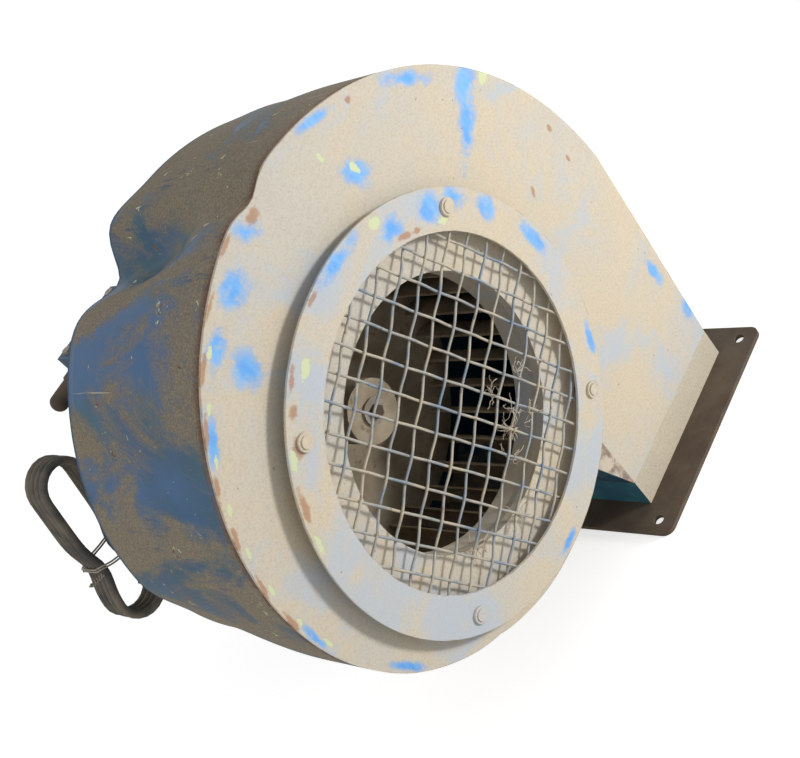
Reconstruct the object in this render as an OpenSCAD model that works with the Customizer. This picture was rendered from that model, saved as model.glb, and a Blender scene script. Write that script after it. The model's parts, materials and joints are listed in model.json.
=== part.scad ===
/* [Casing] */
// Outside width of the casing along the fan axis
casing_w = 156; // [140:1:190]
// Thickness of the two snail-shaped side plates
plate_t = 2; // [1.5:0.5:4]
// Thickness of the wrapper band and duct walls
wrap_t = 2; // [1.5:0.5:4]
// Radius of the scroll at its tongue
tongue_r = 169; // [162:1:185]
// Growth of the scroll radius over a full turn
scroll_rise = 135; // [110:1:150]
// Distance from the fan axis to the duct wall under the tongue
duct_in_x = 85; // [78:1:92]
// Outside width of the outlet duct
duct_w = 160; // [145:1:170]
// Height of the fan axis above the flange's lower face
axis_h = 235; // [215:1:285]
// Length of the outlet collar below the casing
collar_l = 28; // [15:1:45]

/* [Outlet flange] */
// Side length of the square flange
flange_w = 216; // [210:1:250]
// Thickness of the flange
flange_t = 4; // [3:0.5:8]
// Hole spacing across the duct
hole_dx = 190; // [184:1:196]
// Hole spacing along the fan axis
hole_dy = 184; // [180:1:196]
// Diameter of the flange holes
hole_d = 9; // [7:0.5:12]

/* [Inlet] */
// Radius of the inlet throat
throat_r = 99; // [82:0.5:119]
// Inner radius of the guard ring
ring_in_r = 125.5; // [112:0.5:132]
// Outer radius of the guard ring
ring_out_r = 156; // [145:1:162]
// Thickness of the guard ring
ring_t = 2; // [1.5:0.5:4]
// Gap between the guard ring and the casing
ring_gap = 10; // [7:0.5:16]
// Diameter of a guard wire
wire_d = 2.4; // [1.6:0.1:3]
// Spacing of the guard wires
wire_pitch = 19; // [16:0.5:25]
// Radius of the circle that the ring fasteners sit on
ring_screw_r = 142; // [138:1:146]
// Shank diameter of the ring fasteners
ring_screw_d = 5; // [4:0.5:6]

/* [Impeller] */
// Outer radius of the impeller
imp_r = 140; // [134:1:146]
// Inner radius of the blades
blade_in_r = 115; // [112:1:120]
// Number of blades
blade_n = 34; // [24:1:40]
// Length of the blades along the axis
blade_l = 106; // [90:1:112]
// Thickness of a blade
blade_t = 1.5; // [1:0.25:2]
// Thickness of the impeller's back plate
imp_plate_t = 2; // [1.5:0.5:4]
// Distance from the casing's rear plate to the impeller
imp_rear_gap = 15; // [8:1:24]
// Diameter of the hub boss
hub_d = 50; // [44:1:60]
// Length of the hub boss ahead of the impeller's back plate
hub_l = 56; // [40:1:60]

/* [Motor] */
// Diameter of the shaft in the hub
shaft_d = 14; // [12:0.1:17]
// Radial clearance of the hub bore on the shaft
hub_fit = 0.02; // [0.01:0.01:0.08]
// Diameter of the motor flange
motor_flange_d = 160; // [154:1:170]
// Circle of the motor flange bolts
motor_pcd = 130; // [128:1:136]
// Outer diameter of the motor frame without its ribs
frame_d = 124; // [118:0.1:149]
// Wall of the motor frame
frame_t = 6; // [4:0.5:8]
// Height of the cooling ribs
rib_h = 8; // [4:1:9]
// Number of cooling ribs
rib_n = 24; // [12:1:36]
// Length of the motor frame
frame_l = 142; // [136:1:150]
// Diameter of the rotor core
rotor_d = 67; // [60:1:70]
// Air gap between rotor and stator
air_gap = 0.5; // [0.4:0.1:1]
// Outer diameter of the ball bearings
bearing_d = 35; // [32:1:40]
// Width of the ball bearings
bearing_w = 11; // [10:1:12]

/* [Terminal box and cable] */
// Width of the terminal box across the motor
box_w = 80; // [76:1:96]
// Length of the terminal box along the motor
box_l = 76; // [72:1:84]
// Height of the terminal box above its seat
box_h = 42; // [40:1:50]
// Diameter of the supply cable
cable_d = 7; // [6:0.5:7.5]

/* [Hidden] */
$fn = 64;
eps = 0.01;

// The fan axis runs along Y; the duct points down to the flange at Z = 0
axis_x = -(duct_in_x + duct_w / 2);
front_y = -casing_w / 2;
rear_y = casing_w / 2;
spiral_sweep = 238;
tongue_angle = -124;
step_a = 7;
duct_end_z = -(axis_h - flange_t - collar_l);
duct_out_x = duct_in_x + duct_w;

function spiral_r(a) = tongue_r + scroll_rise * a / 360;
function ring_xy(r, a) = [r * cos(a), r * sin(a)];
// Tongue arc, spiral and duct walls of the casing, moved inward by a wall
function scroll_points(wall) = concat(
    [[duct_in_x + wall, duct_end_z]],
    [for (i = [0:8])
        ring_xy(tongue_r - wall, lerp(duct_angle(wall), tongue_angle, i / 8))],
    [for (a = [step_a:step_a:spiral_sweep])
        ring_xy(spiral_r(a) - wall, tongue_angle - a)],
    [[duct_out_x - wall, duct_end_z]]);
function duct_angle(wall) = -acos((duct_in_x + wall) / (tongue_r - wall));
function lerp(a, b, t) = a + (b - a) * t;

ring_y = front_y - ring_gap - ring_t;
wire_y = front_y - ring_gap;
imp_back_y = rear_y - plate_t - imp_rear_gap - imp_plate_t;
imp_front_y = imp_back_y - blade_l;
hub_face_y = imp_back_y - hub_l;
hub_flange_r = 42;
hub_flange_t = 5;
rivet_circle_r = 33;
rivet_d = 5;
rivet_head_r = 4.5;
rivet_head_t = 1.5;
hub_bolt_d = 6;
hub_bolt_l = 24;
hub_bolt_head_r = 5.8;
hub_bolt_head_t = 4;
guard_turn = -25;
front_ring_t = 1.5;
front_ring_in_r = blade_in_r - 6;
cone_t = 1.5;
cone_flange_r = throat_r + 16;
cone_end_r = throat_r + 1;
cone_l = 26;
key_w = 5;
key_l = 40;
key_h = 5.5;
key_sunk = 3;
key_y = hub_face_y + 12;
washer_d = 21;
washer_t = 2.5;

shield_l = 30;
spigot_d = 110;
flange_thick = 10;
frame_y = rear_y + shield_l;
frame_end_y = frame_y + frame_l;
rear_shield_l = 12;
neck_l = 12;
neck_r = motor_pcd / 2 - 9;
tie_r = frame_d / 2 - frame_t - 4;
tie_d = 5;
rib_t = 2.5;
bearing_bore_d = shaft_d + 1;
core_bore_r = 10;
tail_r = 6;
winding_gap = 4;
core_y = frame_y + 22;
core_l = 96;
winding_l = 15;
front_bearing_y = frame_y - bearing_w - 3;
rear_bearing_y = frame_end_y + 1;
shaft_end_y = frame_end_y + rear_shield_l + 20;
shaft_tip_y = hub_face_y + 4;
cowl_y = frame_end_y;
cowl_l = 40;
cowl_t = 1.5;
cowl_r = frame_d / 2 + cowl_t + 0.2;
seat_z = frame_d / 2 + rib_h;
box_y = frame_y + 77;
box_t = 3;
lid_t = 4;
gasket_t = 1.5;
plug_z = seat_z + box_h - 13;
plug_y = box_y + box_l - 12;
gland_z = seat_z + 16;
gland_y = box_y + 26;
gland_l = 24;
gland_r = 10;
motor_bolt_d = 8;
motor_bolt_fit = 0.3;
motor_nut_r = 7;
motor_nut_t = 6.5;
motor_head_t = 5.5;
tie_fit = 0.1;
tie_head_r = 4.5;
tie_head_t = 3.5;
spigot_fit = 0.2;
rib_sunk = 2;
fan_r = 48;
fan_hub_r = 11;
fan_l = 14;
fan_disc_t = 2;
fan_blades = 7;
pad_inset = 8;
// Wiring hole between the terminal box and the motor frame
wire_hole_w = 28;
wire_hole_l = 30;
wire_hole_y = box_y + 25;
fitting_hole_r = 6;
fitting_thread_r = 5.8;
plug_l = 38;
plug_r = 9.5;
lid_screw_inset = 8;
lid_screw_r = 4;

// Cable route in the fan's own axes, from the gland to the top of the hank
cable_route = [[-64, 211, 86], [-73, 211, 86], [-82, 210.5, 85.5], [-90, 209, 84],
    [-97, 207, 81], [-104, 205, 76.5], [-110, 203.5, 71]];
hank_top = [-133, 72];
hank_foot = [-160, -32];
hank_y = 200;
hank_turns = 4;
hank_bend = 3 * cable_d;
turn_gap = 0.4;
hank_w = hank_turns * (cable_d + turn_gap) + cable_d;

steel_blue = [0.10, 0.30, 0.72];
dust = [0.66, 0.56, 0.46];
rusty = [0.30, 0.22, 0.18];
zinc = [0.62, 0.64, 0.66];
cast = [0.35, 0.40, 0.44];
copper = [0.72, 0.42, 0.22];
black = [0.10, 0.10, 0.11];

// Moves a piece drawn about the fan axis into the part's frame
module at_fan() { translate([axis_x, 0, axis_h]) children(); }
// Extrudes an outline in X and Z along Y, from y to y + l
module along_y(y, l) {
    translate([0, y + l, 0]) rotate([90, 0, 0]) linear_extrude(height = l) children();
}
module disc(y, l, r) { along_y(y, l) circle(r = r); }
module tube(y, l, r, hole) {
    along_y(y, l) difference() {
        circle(r = r);
        circle(r = hole);
    }
}
// Turned shape about the fan axis from points of [radius, y]
module turned(points) {
    rotate([-90, 0, 0]) rotate_extrude($fn = 96) polygon(points);
}
module around(n, r, start = 45) {
    for (i = [0:n - 1]) {
        a = start + i * 360 / n;
        translate([r * cos(a), 0, r * sin(a)]) children();
    }
}
module side_plate(y, hole_r) {
    difference() {
        along_y(y, plate_t) polygon(scroll_points(0));
        translate([0, -eps, 0]) disc(y, plate_t + 2 * eps, hole_r);
        children();
    }
}

module front_plate() {
    color(dust) at_fan() side_plate(front_y, throat_r)
        around(4, ring_screw_r) disc(front_y - 1, plate_t + 2, ring_screw_d / 2);
}
module rear_plate() {
    color(steel_blue) at_fan() side_plate(rear_y - plate_t, spigot_d / 2)
        around(4, motor_pcd / 2) disc(rear_y - plate_t - 1, plate_t + 2, motor_bolt_d / 2 + motor_bolt_fit);
}
module scroll_wrapper() {
    l = casing_w - 2 * plate_t;
    color(steel_blue) at_fan() difference() {
        along_y(front_y + plate_t, l) polygon(scroll_points(0));
        along_y(front_y + plate_t - 1, l + 2) polygon(scroll_points(wrap_t));
        // the duct's mouth stays open
        translate([duct_in_x + wrap_t, front_y, duct_end_z - 1])
            cube([duct_w - 2 * wrap_t, casing_w, 2]);
    }
}
module outlet_collar() {
    color(rusty) difference() {
        translate([-duct_w / 2, front_y, flange_t]) cube([duct_w, casing_w, collar_l]);
        translate([-duct_w / 2 + wrap_t, front_y + wrap_t, flange_t - 1])
            cube([duct_w - 2 * wrap_t, casing_w - 2 * wrap_t, collar_l + 2]);
    }
}
module outlet_flange() {
    corner_r = 9;
    color(rusty) difference() {
        linear_extrude(height = flange_t) union() {
            square([flange_w - 2 * corner_r, flange_w], center = true);
            square([flange_w, flange_w - 2 * corner_r], center = true);
            for (x = [-1, 1], y = [-1, 1])
                translate([x * (flange_w / 2 - corner_r), y * (flange_w / 2 - corner_r)])
                    circle(r = corner_r);
        }
        translate([-duct_w / 2 + wrap_t, front_y + wrap_t, -1])
            cube([duct_w - 2 * wrap_t, casing_w - 2 * wrap_t, flange_t + 2]);
        for (x = [-1, 1], y = [-1, 1])
            translate([x * hole_dx / 2, y * hole_dy / 2, -1])
                cylinder(d = hole_d, h = flange_t + 2);
    }
}
module inlet_cone() {
    y0 = front_y + plate_t;
    color(dust) at_fan() turned([[throat_r, y0], [cone_flange_r, y0],
        [cone_flange_r, y0 + cone_t], [throat_r + 6, y0 + cone_t],
        [throat_r + 3, y0 + 5], [cone_end_r + cone_t, y0 + 11], [cone_end_r + cone_t, y0 + cone_l],
        [cone_end_r, y0 + cone_l], [cone_end_r, y0 + 11], [throat_r, y0 + 5]]);
}
module guard_ring() {
    color(dust) at_fan() difference() {
        tube(ring_y, ring_t, ring_out_r, ring_in_r);
        around(4, ring_screw_r) disc(ring_y - 1, ring_t + 2, ring_screw_d / 2);
    }
}
module ring_spacers() {
    color(rusty) at_fan() around(4, ring_screw_r)
        tube(ring_y + ring_t, ring_gap, ring_screw_d / 2 + 3, ring_screw_d / 2);
}
module ring_screws() {
    head_r = 6.5;
    nut_r = 5;
    back = front_y + plate_t;
    color(zinc) at_fan() around(4, ring_screw_r) union() {
        disc(ring_y - 2, 2, head_r);
        disc(ring_y - 3, 1, head_r - 2);
        disc(ring_y, back - ring_y + 4, ring_screw_d / 2);
        along_y(back, 4) circle(r = nut_r, $fn = 6);
    }
}
// Straight wires laid across the ring, each as long as the ring's mouth needs
module wire_layer(y, turn) {
    reach = ring_in_r + 8;
    n = floor((reach - 8) / wire_pitch);
    rotate([0, turn, 0]) for (i = [-n:n]) {
        x = i * wire_pitch;
        h = sqrt(pow(reach, 2) - pow(x, 2));
        translate([x, y, -h]) cylinder(d = wire_d, h = 2 * h, $fn = 16);
    }
}
module guard_wires_upright() {
    color(dust) at_fan() wire_layer(wire_y + wire_d / 2, guard_turn);
}
module guard_wires_cross() {
    color(dust) at_fan() wire_layer(wire_y + wire_d * 1.5, guard_turn + 90);
}
module impeller_backplate() {
    color(dust) at_fan() difference() {
        disc(imp_back_y, imp_plate_t, imp_r);
        disc(imp_back_y - 1, imp_plate_t + 2, hub_d / 2);
        around(6, rivet_circle_r, 0) disc(imp_back_y - 1, imp_plate_t + 2, rivet_d / 2);
    }
}
// One forward-curved blade, an arc that starts at the inner radius
module blade_outline() {
    chord = imp_r - 1 - blade_in_r;
    bend_r = 24;
    translate([blade_in_r + chord / 2, -bend_r * 0.78]) intersection() {
        difference() {
            circle(r = bend_r);
            circle(r = bend_r - blade_t);
        }
        translate([-chord / 2, 0]) square([chord, bend_r * 2]);
    }
}
module impeller_blades() {
    color(dust) at_fan() for (i = [0:blade_n - 1])
        rotate([0, i * 360 / blade_n, 0]) along_y(imp_front_y, blade_l) blade_outline();
}
module impeller_front_ring() {
    color(rusty) at_fan() tube(imp_front_y - front_ring_t, front_ring_t, imp_r, front_ring_in_r);
}
module impeller_hub() {
    color(dust) at_fan() difference() {
        union() {
            disc(hub_face_y, hub_l + imp_plate_t, hub_d / 2);
            disc(imp_back_y + imp_plate_t, hub_flange_t, hub_flange_r);
        }
        disc(hub_face_y - 1, hub_l + imp_plate_t + hub_flange_t + 2, shaft_d / 2 + hub_fit);
        around(6, rivet_circle_r, 0)
            disc(imp_back_y, imp_plate_t + hub_flange_t + 1, rivet_d / 2);
        // keyway, open at the back
        translate([-key_w / 2, key_y - 2, 0])
            cube([key_w, hub_l + 20, shaft_d / 2 - key_sunk + key_h + 0.1]);
    }
}
module hub_rivets() {
    grip = imp_plate_t + hub_flange_t;
    color(zinc) at_fan() around(6, rivet_circle_r, 0) union() {
        disc(imp_back_y - rivet_head_t, rivet_head_t, rivet_head_r);
        disc(imp_back_y, grip, rivet_d / 2);
        disc(imp_back_y + grip, rivet_head_t, rivet_head_r);
    }
}
module hub_washer() {
    color(zinc) at_fan() tube(hub_face_y - washer_t, washer_t, washer_d / 2, hub_bolt_d / 2 + 0.3);
}
module hub_bolt() {
    color(rusty) at_fan() union() {
        along_y(hub_face_y - washer_t - hub_bolt_head_t, hub_bolt_head_t)
            circle(r = hub_bolt_head_r, $fn = 6);
        disc(hub_face_y - washer_t, washer_t + hub_bolt_l, hub_bolt_d / 2);
    }
}
module shaft_key() {
    color(zinc) at_fan() translate([-key_w / 2, key_y, shaft_d / 2 - key_sunk])
        cube([key_w, key_l, key_h]);
}
module motor_shaft() {
    color(zinc) at_fan() difference() {
        union() {
            disc(shaft_tip_y, front_bearing_y - shaft_tip_y, shaft_d / 2);
            disc(front_bearing_y, bearing_w, bearing_bore_d / 2);
            disc(front_bearing_y + bearing_w, rear_bearing_y - front_bearing_y - bearing_w,
                core_bore_r);
            disc(rear_bearing_y, bearing_w, bearing_bore_d / 2);
            disc(rear_bearing_y + bearing_w, shaft_end_y - rear_bearing_y - bearing_w, tail_r);
        }
        disc(shaft_tip_y - 1, hub_bolt_l + 1, hub_bolt_d / 2);
        translate([-key_w / 2, key_y, shaft_d / 2 - key_sunk]) cube([key_w, key_l, key_h]);
    }
}
module ball_bearing(y) {
    color(zinc) at_fan() tube(y, bearing_w, bearing_d / 2, bearing_bore_d / 2);
}
module front_bearing() { ball_bearing(front_bearing_y); }
module rear_bearing() { ball_bearing(rear_bearing_y); }
module rotor_core() {
    color(zinc) at_fan() tube(core_y, core_l, rotor_d / 2, core_bore_r);
}
module stator_core() {
    color(cast) at_fan() difference() {
        tube(core_y, core_l, frame_d / 2 - frame_t, rotor_d / 2 + air_gap);
        around(4, tie_r, 0) disc(core_y - 1, core_l + 2, tie_d / 2 + tie_fit);
    }
}
module winding(y) {
    color(copper) at_fan() tube(y, winding_l, frame_d / 2 - frame_t - 2 * winding_gap,
        rotor_d / 2 + winding_gap);
}
module front_winding() { winding(core_y - winding_l); }
module rear_winding() { winding(core_y + core_l); }
module motor_front_shield() {
    color(cast) at_fan() difference() {
        union() {
            disc(rear_y - plate_t, plate_t, spigot_d / 2 - spigot_fit);
            disc(rear_y, flange_thick, motor_flange_d / 2);
            disc(rear_y + flange_thick, neck_l, neck_r);
            disc(rear_y + flange_thick + neck_l, shield_l - flange_thick - neck_l, frame_d / 2);
        }
        disc(rear_y - plate_t - 1, shield_l + plate_t + 2, shaft_d / 2 + 1);
        disc(front_bearing_y, shield_l, bearing_d / 2);
        around(4, motor_pcd / 2) disc(rear_y - 1, flange_thick + 2, motor_bolt_d / 2 + motor_bolt_fit);
        around(4, tie_r, 0) disc(rear_y + flange_thick, shield_l, tie_d / 2);
    }
}
module motor_frame() {
    color(cast) at_fan() difference() {
        union() {
            disc(frame_y, frame_l, frame_d / 2);
            for (i = [0:rib_n - 1]) rotate([0, i * 360 / rib_n, 0])
                translate([-rib_t / 2, frame_y + 4, frame_d / 2 - rib_sunk])
                    cube([rib_t, frame_l - 16, rib_h + rib_sunk]);
            // seat of the terminal box
            translate([-box_w / 2 + pad_inset, box_y + pad_inset, 0])
                cube([box_w - 2 * pad_inset, frame_end_y - box_y - 18, seat_z]);
        }
        disc(frame_y - 1, frame_l + 2, frame_d / 2 - frame_t);
        translate([-wire_hole_w / 2, wire_hole_y, 20]) cube([wire_hole_w, wire_hole_l, seat_z]);
    }
}
module motor_rear_shield() {
    color(cast) at_fan() difference() {
        disc(frame_end_y, rear_shield_l, frame_d / 2);
        disc(frame_end_y - 1, rear_shield_l + 2, tail_r + 3);
        disc(frame_end_y - 1, bearing_w + 2, bearing_d / 2);
        around(4, tie_r, 0) disc(frame_end_y - 1, rear_shield_l + 2, tie_d / 2);
    }
}
module motor_bolts() {
    color(rusty) at_fan() around(4, motor_pcd / 2) union() {
        along_y(rear_y - plate_t - motor_head_t, motor_head_t) circle(r = motor_nut_r, $fn = 6);
        disc(rear_y - plate_t, plate_t + flange_thick + 10, motor_bolt_d / 2);
    }
}
module motor_nuts() {
    color(rusty) at_fan() around(4, motor_pcd / 2) along_y(rear_y + flange_thick, motor_nut_t)
        difference() {
            circle(r = motor_nut_r, $fn = 6);
            circle(d = motor_bolt_d);
        }
}
module tie_rods() {
    y0 = rear_y + flange_thick + 4;
    color(zinc) at_fan() around(4, tie_r, 0) union() {
        disc(y0, frame_end_y + rear_shield_l - y0, tie_d / 2);
        disc(frame_end_y + rear_shield_l, tie_head_t, tie_head_r);
    }
}
module cooling_fan() {
    y0 = frame_end_y + rear_shield_l + 5;
    color(black) at_fan() union() {
        tube(y0, fan_l, fan_hub_r, tail_r);
        tube(y0, fan_disc_t, fan_r, fan_hub_r - 0.5);
        for (i = [0:fan_blades - 1]) rotate([0, i * 360 / fan_blades, 0])
            translate([fan_hub_r - 1, y0 + 1, -1]) cube([fan_r - fan_hub_r + 1, fan_l - 1, 2]);
    }
}
module fan_cowl() {
    color(cast) at_fan() difference() {
        disc(cowl_y - 6, cowl_l + 6, cowl_r);
        disc(cowl_y - 7, cowl_l + 7 - cowl_t, cowl_r - cowl_t);
        for (r = [20, 32, 44]) around(round(r / 2.6), r, 0) disc(cowl_y + cowl_l - 3, 4, 3);
    }
}
module cowl_screws() {
    color(zinc) at_fan() for (a = [45:90:315]) rotate([0, a, 0])
        translate([0, cowl_y + 5, cowl_r]) cylinder(r = 3.5, h = 2);
}
module terminal_box() {
    z = seat_z;
    color(cast) at_fan() difference() {
        translate([-box_w / 2, box_y, z]) cube([box_w, box_l, box_h]);
        translate([-box_w / 2 + box_t, box_y + box_t, z + box_t])
            cube([box_w - 2 * box_t, box_l - 2 * box_t, box_h]);
        translate([-wire_hole_w / 2, wire_hole_y, z - 1])
            cube([wire_hole_w, wire_hole_l, box_t + 2]);
        for (place = [[plug_y, plug_z], [gland_y, gland_z]])
            translate([-box_w / 2 - 1, place[0], place[1]]) rotate([0, 90, 0])
                cylinder(r = fitting_hole_r, h = box_t + 2);
    }
}
module terminal_gasket() {
    color(black) at_fan() translate([0, 0, seat_z + box_h]) difference() {
        translate([-box_w / 2, box_y, 0]) cube([box_w, box_l, gasket_t]);
        translate([-box_w / 2 + box_t, box_y + box_t, -1])
            cube([box_w - 2 * box_t, box_l - 2 * box_t, gasket_t + 2]);
    }
}
module terminal_lid() {
    color(cast) at_fan() translate([-box_w / 2, box_y, seat_z + box_h + gasket_t])
        cube([box_w, box_l, lid_t]);
}
module lid_screws() {
    color(zinc) at_fan() for (x = [-1, 1], y = [lid_screw_inset, box_l - lid_screw_inset])
        translate([x * (box_w / 2 - lid_screw_inset), box_y + y, seat_z + box_h + gasket_t + lid_t])
            cylinder(r = lid_screw_r, h = 2.5);
}
module terminal_block() {
    color(black) at_fan() translate([-30, box_y + 12, seat_z + box_t]) union() {
        cube([60, 12, 14]);
        for (i = [0:5]) translate([5 + i * 10, 6, 14]) cylinder(r = 2.5, h = 7);
    }
}
// A stopper or gland that screws into the box's left wall and points to -X
module side_fitting(y, z, l, r, bore) {
    translate([-box_w / 2, y, z]) rotate([0, -90, 0]) difference() {
        union() {
            translate([0, 0, -box_t]) cylinder(r = fitting_thread_r, h = box_t);
            cylinder(r = r, h = l * 0.35, $fn = 6);
            cylinder(r = r * 0.85, h = l);
        }
        if (bore > 0) translate([0, 0, -box_t - 1]) cylinder(r = bore, h = l + box_t + 2);
    }
}
module blanking_plug() { color(rusty) at_fan() side_fitting(plug_y, plug_z, plug_l, plug_r, 0); }
module cable_gland() {
    color(black) at_fan() side_fitting(gland_y, gland_z, gland_l, gland_r, cable_d / 2 + 0.05);
}

// Unit direction along the route at point i, and two directions square to it
function route_dir(i) =
    let (a = cable_route[max(i - 1, 0)], b = cable_route[min(i + 1, len(cable_route) - 1)])
    (b - a) / norm(b - a);
function side_a(d) = let (v = cross(d, [0, 1, 0])) v / norm(v);
function cable_ring(i, sides) =
    let (d = route_dir(i), u = side_a(d), v = cross(d, u))
    [for (k = [0:sides - 1])
        cable_route[i] + cable_d / 2 * (u * cos(k * 360 / sides) + v * sin(k * 360 / sides))];
module supply_cable() {
    sides = 10;
    rings = len(cable_route);
    points = [for (i = [0:rings - 1]) each cable_ring(i, sides)];
    walls = [for (i = [0:rings - 2], k = [0:sides - 1])
        [i * sides + k, i * sides + (k + 1) % sides,
         (i + 1) * sides + (k + 1) % sides, (i + 1) * sides + k]];
    first_end = [for (k = [sides - 1:-1:0]) k];
    last_end = [for (k = [0:sides - 1]) (rings - 1) * sides + k];
    color(black) at_fan() polyhedron(points, concat([first_end], walls, [last_end]));
}
// Places a piece in the hank's frame: Z runs from its foot to its top
module on_hank() {
    lean = atan2(hank_top[0] - hank_foot[0], hank_top[1] - hank_foot[1]);
    translate([hank_foot[0], hank_y, hank_foot[1]]) rotate([0, lean, 0]) children();
}
hank_r = hank_bend + cable_d / 2;
hank_l = norm(hank_top - hank_foot);
module cable_hank() {
    color(black) at_fan() on_hank() union() {
        disc(0, hank_w, hank_r);
        translate([0, 0, hank_l]) disc(0, hank_w, hank_r);
        translate([-hank_r, 0, 0]) cube([2 * hank_r, hank_w, hank_l]);
    }
}
module hank_tie() {
    wire = 2;
    color(zinc) at_fan() on_hank() translate([0, 0, hank_l * 0.3]) difference() {
        translate([-hank_r - wire, -wire, 0])
            cube([2 * (hank_r + wire), hank_w + 2 * wire, wire]);
        translate([-hank_r - 0.1, -0.1, -1]) cube([2 * hank_r + 0.2, hank_w + 0.2, wire + 2]);
    }
}
module cable_cores() {
    core_d = 2.2;
    core_len = 25;
    color(copper) at_fan() on_hank() for (i = [-1:1])
        translate([hank_bend + i * 2.3, hank_w - cable_d / 2, -core_len - 13])
            cylinder(d = core_d, h = core_len, $fn = 24);
}

front_plate();
rear_plate();
scroll_wrapper();
outlet_collar();
outlet_flange();
inlet_cone();
guard_ring();
ring_spacers();
ring_screws();
guard_wires_upright();
guard_wires_cross();
impeller_backplate();
impeller_blades();
impeller_front_ring();
impeller_hub();
hub_rivets();
hub_washer();
hub_bolt();
shaft_key();
motor_shaft();
front_bearing();
rear_bearing();
rotor_core();
stator_core();
front_winding();
rear_winding();
motor_front_shield();
motor_frame();
motor_rear_shield();
motor_bolts();
motor_nuts();
tie_rods();
cooling_fan();
fan_cowl();
cowl_screws();
terminal_box();
terminal_gasket();
terminal_lid();
lid_screws();
terminal_block();
blanking_plug();
cable_gland();
supply_cable();
cable_hank();
hank_tie();
cable_cores();
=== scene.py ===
import bpy
import json
import math
import random
from mathutils import Matrix, Vector, noise


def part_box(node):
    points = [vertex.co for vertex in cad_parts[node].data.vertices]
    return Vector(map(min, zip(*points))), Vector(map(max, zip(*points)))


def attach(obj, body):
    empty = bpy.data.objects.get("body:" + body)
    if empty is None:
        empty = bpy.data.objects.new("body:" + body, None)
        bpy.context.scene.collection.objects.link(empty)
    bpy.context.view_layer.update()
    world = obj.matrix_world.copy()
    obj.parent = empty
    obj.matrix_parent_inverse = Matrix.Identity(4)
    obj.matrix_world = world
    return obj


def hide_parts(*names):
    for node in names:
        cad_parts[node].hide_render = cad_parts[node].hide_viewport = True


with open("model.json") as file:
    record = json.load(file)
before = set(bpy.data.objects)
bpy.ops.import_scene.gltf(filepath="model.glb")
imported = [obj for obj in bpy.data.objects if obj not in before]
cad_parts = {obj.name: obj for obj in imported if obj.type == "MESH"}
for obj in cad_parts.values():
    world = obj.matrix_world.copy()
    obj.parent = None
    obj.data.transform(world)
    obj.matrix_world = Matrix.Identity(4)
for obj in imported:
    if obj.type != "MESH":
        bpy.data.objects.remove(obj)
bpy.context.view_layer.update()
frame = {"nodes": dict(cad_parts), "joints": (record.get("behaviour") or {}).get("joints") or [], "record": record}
nodes = frame["nodes"]
MM = 0.001

# ---------------------------------------------------------------- places and sizes
axis_x, _, axis_z = frame["joints"][0]["pos_m"]
front_lo, front_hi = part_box("front_plate")
rear_lo, rear_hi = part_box("rear_plate")
ring_lo, ring_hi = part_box("guard_ring")
FRONT_Y = front_lo.y
REAR_Y = rear_hi.y
PLATE_T = front_hi.y - front_lo.y
THROAT_R = 99 * MM
TONGUE_R = 169 * MM
SCROLL_RISE = 135 * MM
TONGUE_ANGLE = -124
SPIRAL_SWEEP = 238
DUCT_X0 = 85 * MM
DUCT_X1 = 245 * MM
DUCT_END_Z = -203 * MM
GUARD_R = 125.5 * MM
WIRE_D = 2.4 * MM
WIRE_PITCH = 19 * MM
GUARD_TURN = 25


def fan_point(x, y, z):
    """A point given from the fan axis, in the row frame."""
    return Vector((axis_x + x, y, axis_z + z))


# ---------------------------------------------------------------- camera, light, floor
def make_camera():
    data = bpy.data.cameras.new("camera")
    data.lens = 59.44
    data.sensor_width = 36
    cam = bpy.data.objects.new("camera", data)
    bpy.context.scene.collection.objects.link(cam)
    forward = Vector((0.433, 0.727, -0.532)).normalized()
    down = Vector((-0.781, 0.007, -0.625))
    right = down.cross(forward).normalized()
    up = right.cross(forward)
    turn = Matrix((right, up, -forward)).transposed().to_4x4()
    cam.matrix_world = Matrix.Translation(fan_point(-0.3968, -0.724, 0.5253)) @ turn
    bpy.context.scene.camera = cam


def make_light(name, place, size, power, colour=(1, 1, 1)):
    data = bpy.data.lights.new(name, "AREA")
    data.size = size
    data.energy = power
    data.color = colour
    lamp = bpy.data.objects.new(name, data)
    bpy.context.scene.collection.objects.link(lamp)
    lamp.location = place
    aim = Vector((axis_x, 0, axis_z)) - Vector(place)
    lamp.rotation_euler = aim.to_track_quat("-Z", "Y").to_euler()


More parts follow.
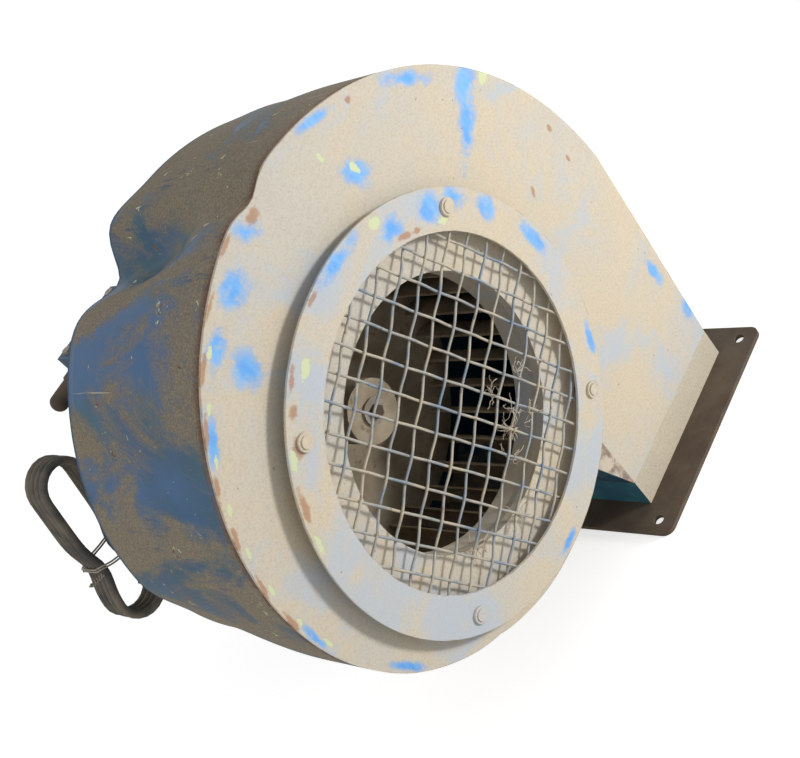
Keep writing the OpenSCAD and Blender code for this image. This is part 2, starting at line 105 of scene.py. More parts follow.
def make_stage():
    bpy.ops.mesh.primitive_plane_add(size=30, location=(0, 0, 0))
    floor = bpy.context.object
    floor.name = "floor"
    mat = bpy.data.materials.new("floor_pale")
    mat.use_nodes = True
    tree = mat.node_tree
    tree.nodes.clear()
    out = tree.nodes.new("ShaderNodeOutputMaterial")
    pale = tree.nodes.new("ShaderNodeBsdfDiffuse")
    pale.inputs["Color"].default_value = (0.8, 0.8, 0.8, 1)
    glow = tree.nodes.new("ShaderNodeEmission")
    glow.inputs["Strength"].default_value = 0.62
    both = tree.nodes.new("ShaderNodeAddShader")
    seen = tree.nodes.new("ShaderNodeMixShader")
    rays = tree.nodes.new("ShaderNodeLightPath")
    link = tree.links.new
    link(pale.outputs[0], both.inputs[0])
    link(glow.outputs[0], both.inputs[1])
    link(rays.outputs["Is Camera Ray"], seen.inputs[0])
    link(pale.outputs[0], seen.inputs[1])
    link(both.outputs[0], seen.inputs[2])
    link(seen.outputs[0], out.inputs[0])
    floor.data.materials.append(mat)
    world = bpy.data.worlds.new("studio")
    bpy.context.scene.world = world
    world.use_nodes = True
    tree = world.node_tree
    tree.nodes.clear()
    out = tree.nodes.new("ShaderNodeOutputWorld")
    sky = tree.nodes.new("ShaderNodeBackground")
    sky.inputs["Color"].default_value = (1.0, 0.99, 0.97, 1)
    sky.inputs["Strength"].default_value = 0.5
    white = tree.nodes.new("ShaderNodeBackground")
    white.inputs["Strength"].default_value = 1
    rays = tree.nodes.new("ShaderNodeLightPath")
    pick = tree.nodes.new("ShaderNodeMath")
    pick.operation = "MAXIMUM"
    blend = tree.nodes.new("ShaderNodeMixShader")
    link = tree.links.new
    link(rays.outputs["Is Camera Ray"], pick.inputs[0])
    link(rays.outputs["Is Glossy Ray"], pick.inputs[1])
    link(pick.outputs[0], blend.inputs[0])
    link(sky.outputs[0], blend.inputs[1])
    link(white.outputs[0], blend.inputs[2])
    link(blend.outputs[0], out.inputs[0])
    bpy.context.scene.view_settings.view_transform = "Standard"
    make_light("key", fan_point(0.95, -1.45, 0.12), 0.3, 19, (1, 0.98, 0.95))
    make_light("fill", fan_point(-1.9, -0.2, 0.7), 1.2, 5, (0.96, 0.98, 1))


make_camera()
make_stage()


# ---------------------------------------------------------------- mesh helpers
def add_mesh(name, points, faces, body, smooth=True):
    mesh = bpy.data.meshes.new(name)
    mesh.from_pydata([tuple(p) for p in points], [], faces)
    mesh.update()
    if smooth:
        mesh.polygons.foreach_set("use_smooth", [True] * len(mesh.polygons))
    piece = bpy.data.objects.new(name, mesh)
    bpy.context.scene.collection.objects.link(piece)
    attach(piece, body)
    return piece


def tube_mesh(paths, radius, sides=8):
    """Points and faces of round wires along the given paths, with closed ends."""
    points, faces = [], []
    for path in paths:
        start = len(points)
        across = None
        for i, p in enumerate(path):
            along = (path[min(i + 1, len(path) - 1)] - path[max(i - 1, 0)]).normalized()
            if across is None:
                across = along.orthogonal().normalized()
            across = (across - along * across.dot(along)).normalized()
            other = along.cross(across)
            for k in range(sides):
                a = 2 * math.pi * k / sides
                points.append(p + radius * (across * math.cos(a) + other * math.sin(a)))
        for i in range(len(path) - 1):
            row = start + i * sides
            for k in range(sides):
                j = (k + 1) % sides
                faces.append((row + k, row + j, row + sides + j, row + sides + k))
        faces.append(tuple(range(start + sides - 1, start - 1, -1)))
        end = start + (len(path) - 1) * sides
        faces.append(tuple(range(end, end + sides)))
    return points, faces


def turned_mesh(profile, centre, along, sides=48):
    """Turns (distance, radius) pairs about a line from centre along a direction."""
    along = Vector(along).normalized()
    across = along.orthogonal().normalized()
    other = along.cross(across)
    points, faces = [], []
    for d, r in profile:
        for k in range(sides):
            a = 2 * math.pi * k / sides
            spoke = across * math.cos(a) + other * math.sin(a)
            points.append(Vector(centre) + along * d + spoke * r)
    for i in range(len(profile) - 1):
        for k in range(sides):
            j = (k + 1) % sides
            faces.append((i * sides + k, i * sides + j, (i + 1) * sides + j, (i + 1) * sides + k))
    faces.append(tuple(range(sides - 1, -1, -1)))
    last = (len(profile) - 1) * sides
    faces.append(tuple(range(last, last + sides)))
    return points, faces


def bump_shape(value, centre, width):
    return math.exp(-((value - centre) / width) ** 2)


def ease(value, low, high):
    t = min(max((value - low) / (high - low), 0), 1)
    return t * t * (3 - 2 * t)


# ---------------------------------------------------------------- casing sheet metal
def scroll_radius(angle):
    """Radius of the spiral at an angle in degrees, seen from the inlet."""
    return TONGUE_R + SCROLL_RISE * ((TONGUE_ANGLE - angle) % 360) / 360


def dent_depth(angle, depth):
    """How far the band is pushed in; depth runs from 0 at the front to 1 at the rear."""
    centre = 92 + 8 * depth
    sharp = 5 if angle < centre else 8
    dent = 26 * MM * ease(depth, 0.05, 0.75) * bump_shape(angle, centre, sharp)
    nick = 7 * MM * bump_shape(angle, 91, 4) * (1 - ease(depth, 0, 0.25))
    crown = 6 * MM * ease(depth, 0.3, 1) * ease(angle, 42, 58) * (1 - ease(angle, 80, 95))
    low = 8 * MM * ease(depth, 0.3, 1) * ease(angle, 166, 182) * (1 - ease(angle, 196, 215))
    waves = 0.7 * MM * noise.noise(Vector((angle * 0.05, depth * 2.2, 3.1)))
    return max(dent + nick + crown + low + waves + 0.4 * MM, 0)


def outline(depth, inset=0.0):
    """The snail outline at a depth, as (x, z) from the fan axis, clockwise from the duct."""
    points = []
    start = -math.degrees(math.acos(DUCT_X0 / TONGUE_R))
    for i in range(6):
        z = DUCT_END_Z + (TONGUE_R * math.sin(math.radians(start)) - DUCT_END_Z) * i / 6
        points.append((DUCT_X0 + inset, z))
    steps = 16
    for i in range(steps):
        a = math.radians(start + (TONGUE_ANGLE - start) * i / steps)
        r = TONGUE_R - inset
        points.append((r * math.cos(a), r * math.sin(a)))
    for i in range(0, SPIRAL_SWEEP * 2 // 3 + 1):
        angle = TONGUE_ANGLE - i * 1.5
        r = scroll_radius(angle) - inset - dent_depth(angle % 360, depth)
        a = math.radians(angle)
        points.append((r * math.cos(a), r * math.sin(a)))
    last = points[-1]
    for i in range(1, 13):
        t = i / 12
        points.append((last[0] + (DUCT_X1 - inset - last[0]) * t, last[1] + (DUCT_END_Z - last[1]) * t))
    return points


def make_wrapper():
    rows = 27
    y0 = FRONT_Y + PLATE_T
    y1 = REAR_Y - PLATE_T
    points, faces = [], []
    for side in (0, 2 * MM):
        for j in range(rows):
            t = j / (rows - 1)
            for x, z in outline(t, side):
                points.append(fan_point(x, y0 + (y1 - y0) * t, z))
    count = len(outline(0))
    for layer in (0, 1):
        base = layer * rows * count
        for j in range(rows - 1):
            for i in range(count - 1):
                a = base + j * count + i
                quad = (a, a + 1, a + count + 1, a + count)
                faces.append(quad if layer == 0 else quad[::-1])
    inner = rows * count
    for i in range(count - 1):
        last = (rows - 1) * count
        faces.append((i + 1, i, inner + i, inner + i + 1))
        faces.append((last + i, last + i + 1, inner + last + i + 1, inner + last + i))
    for j in range(rows - 1):
        a, b = j * count, (j + 1) * count
        faces.append((a, b, inner + b, inner + a))
        c, d = a + count - 1, b + count - 1
        faces.append((d, c, inner + c, inner + d))
    piece = add_mesh("wrapper_band", points, faces, "casing")
    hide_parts("scroll_wrapper")
    return piece


def hole_point(x, z, radius):
    a = math.atan2(z, x)
    return radius * math.cos(a), radius * math.sin(a)


def make_side(name, node, depth, y_outer, y_inner, hole_r):
    """A side plate as a sheet between its round hole and the snail outline."""
    rings = 14
    rim = outline(depth)
    foot = [(DUCT_X1 + (DUCT_X0 - DUCT_X1) * i / 10, DUCT_END_Z) for i in range(1, 10)]
    rim = rim + foot
    count = len(rim)
    points, faces = [], []
    facing = -1 if y_outer < y_inner else 1
    for level in (y_outer, y_inner):
        for k in range(rings + 1):
            t = k / rings
            for i, (x, z) in enumerate(rim):
                hx, hz = hole_point(x, z, hole_r)
                px, pz = hx + (x - hx) * t, hz + (z - hz) * t
                wave = 0.8 * MM * noise.noise(Vector((px * 9, depth, pz * 9))) * math.sin(math.pi * t)
                angle = math.degrees(math.atan2(z, x)) % 360
                curl = 0
                if depth == 0:
                    curl = 3 * MM * bump_shape(angle, 90, 3.5) * ease(t, 0.8, 1)
                    curl += 0.7 * MM * ease(t, 0.92, 1) * max(noise.noise(Vector((angle * 0.11, 5, 0))), 0)
                y = level - facing * abs(wave) - facing * curl * 0.4
                points.append(fan_point(px, y, pz))
    layer = (rings + 1) * count
    for base in (0, layer):
        for k in range(rings):
            for i in range(count):
                j = (i + 1) % count
                a, b = base + k * count, base + (k + 1) * count
                quad = (a + i, a + j, b + j, b + i)
                turn = (base == 0) == (facing < 0)
                faces.append(quad if turn else quad[::-1])
    for k in (0, rings):
        for i in range(count):
            j = (i + 1) % count
            a = k * count
            quad = (a + j, a + i, layer + a + i, layer + a + j)
            turn = (k == 0) == (facing < 0)
            faces.append(quad if turn else quad[::-1])
    piece = add_mesh(name, points, faces, "casing", smooth=False)
    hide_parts(node)
    return piece


# ---------------------------------------------------------------- wire guard and lint
def guard_paths(turn, lift, phase):
    """Woven wires of one direction, a little bent, each ending under the ring."""
    dice = random.Random(7 + turn)
    reach = GUARD_R + 7.5 * MM
    count = int((reach - 8 * MM) / WIRE_PITCH)
    c, s = math.cos(math.radians(turn)), math.sin(math.radians(turn))
    paths = []
    for i in range(-count, count + 1):
        x = i * WIRE_PITCH
        half = math.sqrt(reach * reach - x * x) - dice.random() * 3 * MM
        bend = dice.uniform(-0.8, 0.8) * MM
        wander = dice.random() * 50
        path = []
        steps = int(half * 2 / (WIRE_PITCH / 6))
        for k in range(steps + 1):
            t = -half + 2 * half * k / steps
            weave = math.cos(math.pi * (t / WIRE_PITCH + i + phase)) * 0.42 * WIRE_D
            fade = 1 - (t / half) ** 4
            off = x + bend * fade * math.sin(t * 16 + wander)
            path.append(fan_point(off * c - t * s, lift + weave, off * s + t * c))
        paths.append(path)
    return paths


def make_guard():
    mid = ring_hi.y + WIRE_D
    made = []
    for name, node, turn, phase in (
        ("guard_upright", "guard_wires_upright", GUARD_TURN, 0),
        ("guard_cross", "guard_wires_cross", GUARD_TURN + 90, 1),
    ):
        points, faces = tube_mesh(guard_paths(turn, mid, phase), WIRE_D / 2 * 0.84)
        piece = add_mesh(name, points, faces, "casing")
        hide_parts(node)
        made.append(piece)
    return made


def make_lint():
    """Fibres of dust and lint caught on the wires."""
    dice = random.Random(31)
    paths = []
    places = [(28, -52), (36, -42), (8, -66), (30, -18), (-20, -98), (45, -60), (22, -46), (-64, -74), (60, -30)]
    for px, pz in places:
        for _ in range(11):
            p = fan_point(px * MM, ring_hi.y + WIRE_D, pz * MM)
            step = Vector([dice.uniform(-1, 1) for _ in range(3)]).normalized() * 1.3 * MM
            path = [p]
            for _ in range(dice.randint(6, 15)):
                step = (step + Vector([dice.uniform(-0.7, 0.7) * MM for _ in range(3)])).normalized() * 1.4 * MM
                q = path[-1] + step
                q.y = min(max(q.y, ring_hi.y - 0.5 * MM), ring_hi.y + 6 * MM)
                path.append(q)
            paths.append(path)
    points, faces = tube_mesh(paths, 0.28 * MM, sides=5)
    piece = add_mesh("guard_lint", points, faces, "casing")
    return piece


# ---------------------------------------------------------------- cable
CABLE_D = 7 * MM
ROUTE = [
    (-64, 211, 86), (-73, 211, 86), (-82, 210.5, 85.5), (-90, 209, 84),
    (-97, 207, 81), (-104, 205, 76.5), (-110, 203.5, 71),
]
HANK_TOP = Vector((-133, 0, 72)) * MM
HANK_FOOT = Vector((-160, 0, -32)) * MM
HANK_Y = 200 * MM
HANK_TURNS = 4
HANK_BEND = 3 * CABLE_D
TURN_GAP = 0.4 * MM
TIE_LEVEL = 0.32 * (HANK_TOP - HANK_FOOT).length


def hank_waist(along):
    """How far the tie draws the strands in at a height up the hank."""
    return 6 * MM * math.exp(-((along - TIE_LEVEL) / (18 * MM)) ** 2)


def hank_point(across, y, along):
    """A point in the hank's own directions: across it, and up from its foot."""
    across -= math.copysign(min(hank_waist(along), abs(across)), across)
    up = (HANK_TOP - HANK_FOOT).normalized()
    side = Vector((up.z, 0, -up.x))
    p = HANK_FOOT + side * across + up * along
    return fan_point(p.x, HANK_Y + y, p.z)


def cable_points():
    long = (HANK_TOP - HANK_FOOT).length
    around = 2 * long + 2 * math.pi * HANK_BEND
    first = CABLE_D / 2
    rise = CABLE_D + TURN_GAP
    points = [fan_point(x * MM, y * MM, z * MM) for x, y, z in ROUTE]
    total = around * HANK_TURNS + long + 14 * MM
    step = 6 * MM
    start = 10 * MM
    count = int((total - start) / step)
    for i in range(count + 1):
        s = start + (total - start) * i / count
        turn, d = divmod(s, around)
        # a strand climbs to the next lane only round the top fold
        climb = ease(d, around - math.pi * HANK_BEND, around)
        y = first + rise * (turn + climb)
        if d < long:
            points.append(hank_point(HANK_BEND, y, long - d))
        elif d < long + math.pi * HANK_BEND:
            a = (d - long) / HANK_BEND
            points.append(hank_point(HANK_BEND * math.cos(a), y, -HANK_BEND * math.sin(a)))
        elif d < 2 * long + math.pi * HANK_BEND:
            points.append(hank_point(-HANK_BEND, y, d - long - math.pi * HANK_BEND))
        else:
            a = (d - 2 * long - math.pi * HANK_BEND) / HANK_BEND
            points.append(hank_point(-HANK_BEND * math.cos(a), y, long + HANK_BEND * math.sin(a)))
    return points


def make_cable():
    points = cable_points()
    skin, faces = tube_mesh([points], CABLE_D / 2, sides=14)
    cable = add_mesh("cable", skin, faces, "casing")
    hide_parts("supply_cable", "cable_hank")
    length = sum((b - a).length for a, b in zip(points, points[1:]))
    return cable, points, length


def make_tie():
    """A twist of wire round the hank, with its twisted tail."""
    half = HANK_BEND + CABLE_D / 2 + 1.2 * MM
    deep = HANK_TURNS * (CABLE_D + TURN_GAP) + CABLE_D + 1.2 * MM
    loops = []
    for shift in (0, 2.3 * MM):
        path = []
        for k in range(49):
            a = 2 * math.pi * k / 48
            c, s = math.cos(a), math.sin(a)
            x = half * abs(c) ** 0.35 * (1 if c > 0 else -1)
            y = deep / 2 + (deep / 2 + 0.6 * MM) * abs(s) ** 0.35 * (1 if s > 0 else -1)
            path.append(hank_point(x, y - 0.6 * MM, TIE_LEVEL + shift + 3 * MM * math.sin(a * 2)))
        loops.append(path)
    for phase in (0, math.pi):
        tail = []
        for k in range(25):
            a = k * 0.8 + phase
            tail.append(hank_point(-half - k * 0.6 * MM, -1.2 * MM + 1.1 * MM * math.cos(a),
                                   TIE_LEVEL + 1.1 * MM * math.sin(a)))
        loops.append(tail)
    points, faces = tube_mesh(loops, 0.8 * MM, sides=8)
    piece = add_mesh("wire_tie", points, faces, "casing")
    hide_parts("hank_tie")
    return piece


def make_gland():
    """Round collar, dome nut and tapered sleeve where the cable leaves the terminal box."""
    lo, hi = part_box("cable_gland")
    seat = Vector((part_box("terminal_box")[0].x, (lo.y + hi.y) / 2, (lo.z + hi.z) / 2))
    bore = CABLE_D / 2 + 0.1 * MM
    profile = [(d * MM, r * MM) for d, r in (
        (-3, 5.8), (0, 5.8), (0, 9.2), (0.6, 9.8), (6, 9.8), (6.5, 9.2), (7, 8.2), (13, 8.2), (15, 7.2),
        (16, 5.6), (20, 4.9), (24, 4.2))] + [(24 * MM, bore), (-3 * MM, bore)]
    points, faces = turned_mesh(profile, seat, (-1, 0, 0))
    piece = add_mesh("gland_sleeve", points, faces[:-2], "casing")
    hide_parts("cable_gland")
    return piece


def make_plug():
    """Stopper with a round foot and a worn domed end."""
    lo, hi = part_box("blanking_plug")
    seat = Vector((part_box("terminal_box")[0].x, (lo.y + hi.y) / 2, (lo.z + hi.z) / 2))
    end = seat.x - lo.x
    profile = [(0, 8.6), (0.5, 9.3), (11, 9.3), (12, 8.2), (13, 7.9), (end / MM - 7, 7.9)]
    profile = [(d * MM, r * MM) for d, r in profile]
    for k in range(1, 9):
        a = math.pi / 2 * k / 8.2
        profile.append((end - 7 * MM + 7 * MM * math.sin(a), 7.9 * MM * math.cos(a)))
    points, faces = turned_mesh(profile, seat, (-1, 0, 0))
    piece = add_mesh("stopper", points, faces, "casing")
    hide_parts("blanking_plug")
    return piece


# ---------------------------------------------------------------- materials
class Finish:
    """One procedural material, built up in layers over a base colour."""

    def __init__(self, name):
        self.mat = bpy.data.materials.new(name)
        self.mat.use_nodes = True
        self.tree = self.mat.node_tree
        self.shader = self.tree.nodes["Principled BSDF"]
        self.coord = self.tree.nodes.new("ShaderNodeTexCoord").outputs["Object"]

    def node(self, kind, **settings):
        made = self.tree.nodes.new(kind)
        for key, value in settings.items():
            setattr(made, key, value)
        return made

    def wire(self, value, socket):
        if isinstance(value, (int, float)):
            socket.default_value = value
        elif isinstance(value, tuple):
            socket.default_value = (*value, 1) if len(socket.default_value) == 4 else value
        else:
            self.tree.links.new(value, socket)

    def noise(self, scale, detail=4, rough=0.6, stretch=(1, 1, 1), warp=0.0):
        where = self.coord
        if stretch != (1, 1, 1):
            mapping = self.node("ShaderNodeMapping")
            self.wire(self.coord, mapping.inputs["Vector"])
            mapping.inputs["Scale"].default_value = stretch
            where = mapping.outputs[0]
        made = self.node("ShaderNodeTexNoise")
        self.wire(where, made.inputs["Vector"])
        made.inputs["Scale"].default_value = scale
        made.inputs["Detail"].default_value = detail
        made.inputs["Roughness"].default_value = rough
        made.inputs["Distortion"].default_value = warp
        return made.outputs["Fac"]

    def step(self, value, low, high):
        made = self.node("ShaderNodeMapRange", interpolation_type="SMOOTHSTEP")
        self.wire(value, made.inputs["Value"])
        made.inputs["From Min"].default_value = low
        made.inputs["From Max"].default_value = high
        return made.outputs[0]

    def math(self, kind, a, b=0.0):
        made = self.node("ShaderNodeMath", operation=kind)
        self.wire(a, made.inputs[0])
        self.wire(b, made.inputs[1])
        return made.outputs[0]

    def mix(self, fac, a, b):
        made = self.node("ShaderNodeMix", data_type="RGBA")
        self.wire(fac, made.inputs["Factor"])
        self.wire(a, made.inputs[6])
        self.wire(b, made.inputs[7])
        return made.outputs[2]

    def blob(self, places, ragged=2.3, scale=60, soft=0.7):
        """1 near any place (x, z, half sizes, turn) on a sheet square to the fan axis."""
        total = None
        shake = self.noise(scale, 6, 0.7)
        split = self.node("ShaderNodeSeparateXYZ")
        self.wire(self.coord, split.inputs[0])
        for x, z, rx, rz, turn in places:
            c, s = math.cos(math.radians(turn)), math.sin(math.radians(turn))
            dx = self.math("SUBTRACT", split.outputs["X"], x * MM)
            dz = self.math("SUBTRACT", split.outputs["Z"], z * MM)
            ru, rv = rx * MM, rz * MM
            u = self.math("ADD", self.math("MULTIPLY", dx, c / ru), self.math("MULTIPLY", dz, s / ru))
            v = self.math("SUBTRACT", self.math("MULTIPLY", dz, c / rv), self.math("MULTIPLY", dx, s / rv))
            square = self.math("ADD", self.math("MULTIPLY", u, u), self.math("MULTIPLY", v, v))
            far = self.math("SQRT", square)
            near = self.math("SUBTRACT", 1, far)
            total = near if total is None else self.math("MAXIMUM", total, near)
        shake = self.math("MULTIPLY", self.math("SUBTRACT", shake, 0.5), ragged)
        return self.step(self.math("ADD", total, shake), 0.05, 0.05 + soft)

    def near_edge(self, width=1.2 * MM):
        """1 close to a sharp edge of the mesh."""
        made = self.node("ShaderNodeBevel", samples=4)
        made.inputs["Radius"].default_value = width
        geometry = self.node("ShaderNodeNewGeometry")
        dot = self.node("ShaderNodeVectorMath", operation="DOT_PRODUCT")
        self.wire(made.outputs[0], dot.inputs[0])
        self.wire(geometry.outputs["Normal"], dot.inputs[1])
        return self.step(self.math("SUBTRACT", 1, dot.outputs["Value"]), 0.01, 0.12)

    def done(self, colour, rough=0.6, bump=None, strength=0.3, metal=0.0):
        self.wire(colour, self.shader.inputs["Base Color"])
        self.wire(rough, self.shader.inputs["Roughness"])
        self.wire(metal, self.shader.inputs["Metallic"])
        if bump is not None:
            made = self.node("ShaderNodeBump")
            made.inputs["Strength"].default_value = strength
            made.inputs["Distance"].default_value = 0.6 * MM
            self.wire(bump, made.inputs["Height"])
            self.tree.links.new(made.outputs[0], self.shader.inputs["Normal"])
        return self.mat


SKY_BLUE = (0.10, 0.36, 0.84)
SKY_BLUE_2 = (0.17, 0.46, 0.88)
PALE_BLUE = (0.42, 0.53, 0.68)
CREAM = (0.64, 0.56, 0.43)
CREAM_GREY = (0.58, 0.55, 0.49)
GRIT = (0.36, 0.28, 0.19)
DEEP_BLUE = (0.025, 0.085, 0.19)
TEAL = (0.018, 0.10, 0.15)
PATCH_BLUE = (0.032, 0.125, 0.29)
BROWN_DUST = (0.22, 0.175, 0.12)
PALE_DUST = (0.38, 0.31, 0.20)
RUST = (0.15, 0.06, 0.028)
RUST_PALE = (0.40, 0.20, 0.10)
PRIMER = (0.62, 0.68, 0.42)
BARE = (0.58, 0.50, 0.38)


def grain(f):
    """Fine dust grain as a height and as a colour fleck."""
    return f.noise(900, 3, 0.7), f.noise(620, 4, 0.75)


def dusty_front(name, blue_places=(), rust_places=(), chip_places=(), haze_from=0.52):
    """Bright blue paint under settled cream dust, wiped bare in places."""
    f = Finish(name)
    fine, fleck = grain(f)
    dust = f.mix(f.step(f.noise(9, 5, 0.6), 0.40, 0.64), CREAM, CREAM_GREY)
    dust = f.mix(f.math("MULTIPLY", f.step(fleck, 0.40, 0.75), 0.38), dust, GRIT)
    haze = f.step(f.noise(16, 5, 0.65, warp=0.5), haze_from, haze_from + 0.16)
    dust = f.mix(f.math("MULTIPLY", haze, 0.55), dust, PALE_BLUE)
    height = f.math("MULTIPLY", fine, 0.3)
    bare = 0.0
    colour = dust
    if blue_places:
        blue = f.mix(f.step(f.noise(90, 3, 0.6, stretch=(1, 1, 0.2)), 0.35, 0.7), SKY_BLUE, SKY_BLUE_2)
        veil = f.math("MULTIPLY", f.step(f.noise(60, 6, 0.75), 0.50, 0.70), 0.5)
        bare = f.math("MULTIPLY", f.blob(blue_places), f.math("SUBTRACT", 1, veil))
        colour = f.mix(bare, dust, blue)
    if rust_places:
        rust = f.blob(rust_places, 2.2, 110, 0.5)
        colour = f.mix(f.math("MULTIPLY", rust, 0.75), colour, RUST_PALE)
    specks = f.step(f.noise(190, 2, 0.5), 0.74, 0.765)
    colour = f.mix(f.math("MULTIPLY", specks, 0.5), colour, RUST)
    if chip_places:
        chips = f.blob(chip_places, 2.2, 190, 0.2)
        colour = f.mix(chips, colour, PRIMER)
        height = f.math("SUBTRACT", height, f.math("MULTIPLY", chips, 0.6))
    worn = f.math("MULTIPLY", f.near_edge(1.4 * MM), f.step(f.noise(55, 4, 0.6), 0.38, 0.6))
    edge = f.mix(f.step(f.noise(80, 3, 0.6), 0.42, 0.58), RUST, BARE)
    colour = f.mix(f.math("MULTIPLY", worn, 0.7), colour, edge)
    covered = f.math("SUBTRACT", 1, bare)
    height = f.math("ADD", height, f.math("MULTIPLY", covered, 0.4))
    return f.done(colour, f.math("ADD", 0.45, f.math("MULTIPLY", covered, 0.45)), height, 0.4)


def worn_band():
    """The wrapper: deep blue, streaked with brown dust, scratched to primer and rust."""
    f = Finish("worn_band")
    fine, fleck = grain(f)
    split = f.node("ShaderNodeSeparateXYZ")
    f.wire(f.coord, split.inputs[0])
    blue = f.mix(f.step(f.noise(24, 5, 0.65), 0.35, 0.65), DEEP_BLUE, TEAL)
    patch = f.blob([(-262, 424, 52, 56, 0), (-210, 452, 36, 20, 0), (-318, 350, 26, 40, -30)], 1.6, 30, 0.7)
    inner = f.step(split.outputs["Y"], FRONT_Y + 14 * MM, FRONT_Y + 46 * MM)
    patch = f.math("MULTIPLY", patch, f.math("ADD", 0.35, f.math("MULTIPLY", inner, 0.65)))
    blue = f.mix(patch, blue, PATCH_BLUE)
    level = f.noise(15, 8, 0.68, stretch=(1, 0.7, 1), warp=0.7)
    level = f.math("SUBTRACT", level, f.math("MULTIPLY", patch, 0.08))
    cover = f.step(level, 0.37, 0.53)
    low = f.math("SUBTRACT", 1, f.step(split.outputs["Z"], 130 * MM, 250 * MM))
    dust = f.mix(f.step(fleck, 0.38, 0.68), BROWN_DUST, PALE_DUST)
    dust = f.mix(f.math("MULTIPLY", low, 0.6), dust, PALE_DUST)
    colour = f.mix(f.math("MULTIPLY", cover, 0.88), blue, dust)
    streak = f.step(f.noise(130, 4, 0.7, stretch=(1, 0.12, 1)), 0.58, 0.66)
    streak = f.math("MULTIPLY", streak, f.step(f.noise(14, 3, 0.5), 0.46, 0.58))
    colour = f.mix(f.math("MULTIPLY", streak, 0.55), colour, DEEP_BLUE)
    scratch = f.step(f.noise(170, 2, 0.5, stretch=(1, 0.06, 1), warp=0.3), 0.69, 0.72)
    scratch = f.math("MULTIPLY", scratch, f.step(f.noise(12, 3, 0.5), 0.48, 0.58))
    colour = f.mix(f.math("MULTIPLY", scratch, 0.8), colour, BARE)
    spots = f.step(f.noise(70, 5, 0.65, warp=1.2), 0.655, 0.68)
    chip = f.mix(f.step(f.noise(160, 3, 0.6), 0.42, 0.55), RUST, PRIMER)
    colour = f.mix(spots, colour, chip)
    front = f.math("SUBTRACT", 1, f.step(split.outputs["Y"], FRONT_Y + 1 * MM, FRONT_Y + 11 * MM))
    rim = f.math("MULTIPLY", front, f.step(f.noise(48, 5, 0.65), 0.40, 0.52))
    edge = f.mix(f.step(fleck, 0.56, 0.62), RUST, BROWN_DUST)
    colour = f.mix(f.math("MULTIPLY", rim, 0.9), colour, edge)
    height = f.math("ADD", f.math("MULTIPLY", fine, 0.25), f.math("MULTIPLY", cover, 0.5))
    height = f.math("SUBTRACT", height, f.math("MULTIPLY", spots, 0.4))
    return f.done(colour, f.math("ADD", 0.36, f.math("MULTIPLY", cover, 0.5)), height, 0.4)


def collar_finish():
    """Dust on the face towards the inlet, teal paint in the shelter behind it."""
    f = Finish("collar_paint")
    fine, fleck = grain(f)
    dust = f.mix(f.math("MULTIPLY", f.step(fleck, 0.42, 0.72), 0.5), CREAM, GRIT)
    teal = f.mix(f.step(f.noise(30, 5, 0.65), 0.42, 0.60), TEAL, (0.03, 0.17, 0.20))
    split = f.node("ShaderNodeSeparateXYZ")
    f.wire(f.node("ShaderNodeTexCoord").outputs["Normal"], split.inputs[0])
    ahead = f.step(f.math("MULTIPLY", split.outputs["Y"], -1), 0.3, 0.7)
    thin = f.math("MULTIPLY", ahead, f.math("SUBTRACT", 1, f.math("MULTIPLY", f.noise(20, 5, 0.6), 0.25)))
    colour = f.mix(thin, teal, dust)
    return f.done(colour, 0.75, fine, 0.35)


def plain_finish(name, base, second, rust=0.2, rough=0.6, metal=0.0, scale=40, edge=0.5):
    """Painted or bare metal with cloudy dirt, rust freckles and bright worn edges; on the cable rubber the paler
    cloudy tone is a painted highlight.
    """
    f = Finish(name)
    fine, fleck = grain(f)
    # second tone in cloudy patches: dirt on most finishes, painted highlight on the cable rubber
    colour = f.mix(f.step(f.noise(scale, 5, 0.6), 0.35, 0.68), base, second)
    freckle = f.step(f.noise(130, 4, 0.65), 0.66 - rust * 0.2, 0.74 - rust * 0.2)
    colour = f.mix(f.math("MULTIPLY", freckle, min(rust * 2, 1)), colour, RUST)
    worn = f.math("MULTIPLY", f.near_edge(0.8 * MM), f.step(f.noise(70, 3, 0.6), 0.4, 0.6))
    lighter = tuple(min(c * 1.9 + 0.05, 1) for c in base)
    colour = f.mix(f.math("MULTIPLY", worn, edge), colour, lighter)
    shine = f.math("ADD", rough - 0.1, f.math("MULTIPLY", fleck, 0.25))
    return f.done(colour, shine, fine, 0.25, metal)


def paint(piece, mat):
    piece.data.materials.clear()
    piece.data.materials.append(mat)


# ---------------------------------------------------------------- build
cable, cable_path, cable_length = make_cable()
tie = make_tie()
gland = make_gland()
plug = make_plug()

wrapper = make_wrapper()
front = make_side("front_sheet", "front_plate", 0, FRONT_Y, FRONT_Y + PLATE_T, THROAT_R)
rear = make_side("rear_sheet", "rear_plate", 1, REAR_Y, REAR_Y - PLATE_T, 55 * MM)
guard = make_guard()
lint = make_lint()



def on_rim(angle, inward, half_width, half_length):
    """A mark that lies along the outline of the front plate."""
    r = scroll_radius(angle) / MM - inward
    a = math.radians(angle)
    return (axis_x / MM + r * math.cos(a), axis_z / MM + r * math.sin(a), half_width, half_length, angle)


def on_ring(angle, r, half_width, half_length):
    """A mark that lies along the guard ring."""
    a = math.radians(angle)
    return (axis_x / MM + r * math.cos(a), axis_z / MM + r * math.sin(a), half_width, half_length, angle)


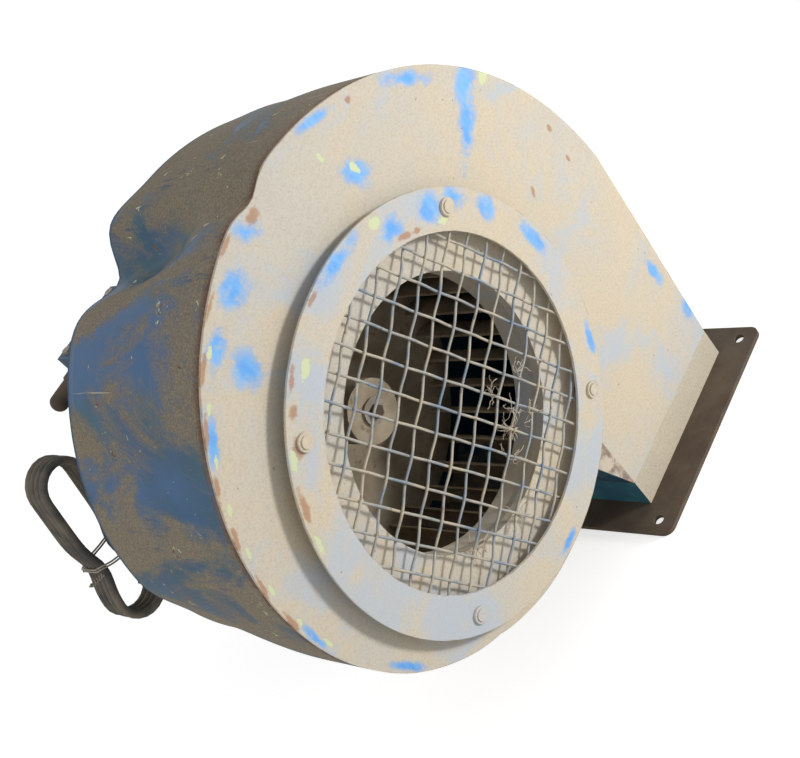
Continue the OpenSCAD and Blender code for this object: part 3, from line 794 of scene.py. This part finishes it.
# Marks are x, z in millimetres in the row frame, two half sizes and a turn in degrees
plate_blue = [(6, 349, 44, 11, 35), (26, 368, 24, 14, 35), (-252, 390, 15, 17, 0), (-96, 402, 13, 18, 30),
              (84, 62, 16, 14, 0), (72, 118, 9, 18, 0),
              on_rim(50, 8, 8, 34), on_rim(72, 6, 5, 22), on_rim(96, 13, 13, 15), on_rim(106, 16, 15, 20),
              on_rim(117, 10, 10, 22), on_rim(133, 6, 6, 24), on_rim(178, 4, 4, 20), on_rim(205, 5, 5, 24)]
plate_rust = [(-64, 436, 4, 4, 0), (68, 284, 3, 5, 0), (66, 254, 2, 5, 0), (18, 268, 3, 8, -30)]
plate_rust += [on_rim(a, 2, 2.5, 13) for a in range(91, 175, 10)] + [on_rim(93, 12, 6, 9)]
plate_chip = [(-94, 405, 3, 6, 20), (45, 359, 5, 9, -40), (-110, 430, 2, 4, 0)]
plate_chip += [on_rim(a, 6, 1.8, 5) for a in range(118, 182, 9)]
ring_blue = [on_ring(68, 138, 13, 16), on_ring(52, 142, 16, 17), on_ring(42, 149, 10, 14), on_ring(29, 146, 11, 13),
             on_ring(88, 150, 8, 30), on_ring(8, 147, 8, 24), on_ring(330, 150, 6, 20), on_ring(268, 150, 5, 18)]
ring_rust = [on_ring(64, 130, 3, 9), on_ring(136, 147, 6, 9), on_ring(128, 150, 5, 7), on_ring(58, 130, 3, 7),
             on_ring(150, 152, 4, 14), on_ring(120, 153, 3, 12), on_ring(100, 153, 3, 8)]
ring_chip = [on_ring(72, 149, 5, 6), on_ring(117, 143, 4, 9), on_ring(139, 152, 3, 8), on_ring(160, 152, 2.5, 9),
             on_ring(47, 133, 3, 5)]

dusty_plate = dusty_front("dusty_plate", plate_blue, plate_rust, plate_chip)
dusty_ring = dusty_front("dusty_ring", ring_blue, ring_rust, ring_chip, haze_from=0.44)
dust_coat = dusty_front("dust_coat")
band = worn_band()
finishes = {
    "blue_paint": plain_finish("deep_paint", DEEP_BLUE, TEAL, 0.3),
    "dusty_paint": dust_coat,
    "rusty_steel": plain_finish("rusty_steel", (0.085, 0.06, 0.042), (0.13, 0.098, 0.068), 0.3, 0.75, scale=28),
    "guard_wire": plain_finish("guard_wire", (0.50, 0.44, 0.33), (0.20, 0.27, 0.36), 0.3, 0.6, scale=34),
    "dusty_steel": plain_finish("dusty_steel", (0.46, 0.385, 0.28), (0.27, 0.22, 0.155), 0.25, 0.85, scale=22),
    "zinc_steel": plain_finish("zinc_steel", (0.42, 0.38, 0.31), (0.26, 0.22, 0.18), 0.4, 0.55, metal=0.4),
    "cast_grey": plain_finish("cast_grey", (0.10, 0.14, 0.17), (0.16, 0.17, 0.16), 0.25, 0.6),
    "core_steel": plain_finish("core_steel", (0.25, 0.25, 0.26), (0.18, 0.17, 0.16), 0.2, 0.5, metal=0.8),
    "copper": plain_finish("copper_wire", (0.55, 0.22, 0.09), (0.40, 0.15, 0.06), 0.0, 0.35, metal=0.8),
    "black_plastic": plain_finish("black_plastic", (0.02, 0.02, 0.021), (0.05, 0.045, 0.04), 0.0, 0.5),
    "motor_paint": plain_finish("motor_paint", (0.03, 0.10, 0.20), (0.07, 0.11, 0.15), 0.2, 0.5),
    # cable rubber: the paler second tone, laid in cloudy patches, is painted highlight standing in for the grey
    # highlights on the cable loops
    "cable_rubber": plain_finish("cable_rubber", (0.075, 0.07, 0.062), (0.22, 0.185, 0.14), 0.0, 0.75, scale=26, edge=0),
}
slots = {row["node"]: row["material_slot"] for row in frame["record"]["subparts"]}
for node, piece in nodes.items():
    paint(piece, finishes[slots[node]])
paint(nodes["guard_ring"], dusty_ring)
paint(nodes["outlet_collar"], collar_finish())
paint(nodes["ring_screws"], dust_coat)
paint(front, dusty_plate)
paint(rear, finishes["blue_paint"])
paint(wrapper, band)
for piece in guard:
    paint(piece, finishes["guard_wire"])
paint(lint, dust_coat)
paint(plug, finishes["rusty_steel"])
paint(gland, finishes["cable_rubber"])
paint(tie, finishes["zinc_steel"])
paint(cable, finishes["cable_rubber"])

for node in ("outlet_flange", "motor_frame", "motor_front_shield", "motor_rear_shield", "terminal_box",
             "terminal_lid", "guard_ring", "impeller_hub", "fan_cowl"):
    soft = nodes[node].modifiers.new("soft_edges", "BEVEL")
    soft.width = 0.5 * MM
    soft.segments = 2
    soft.limit_method = "ANGLE"

bpy.context.view_layer.update()
print("cable length", round(cable_length, 4))
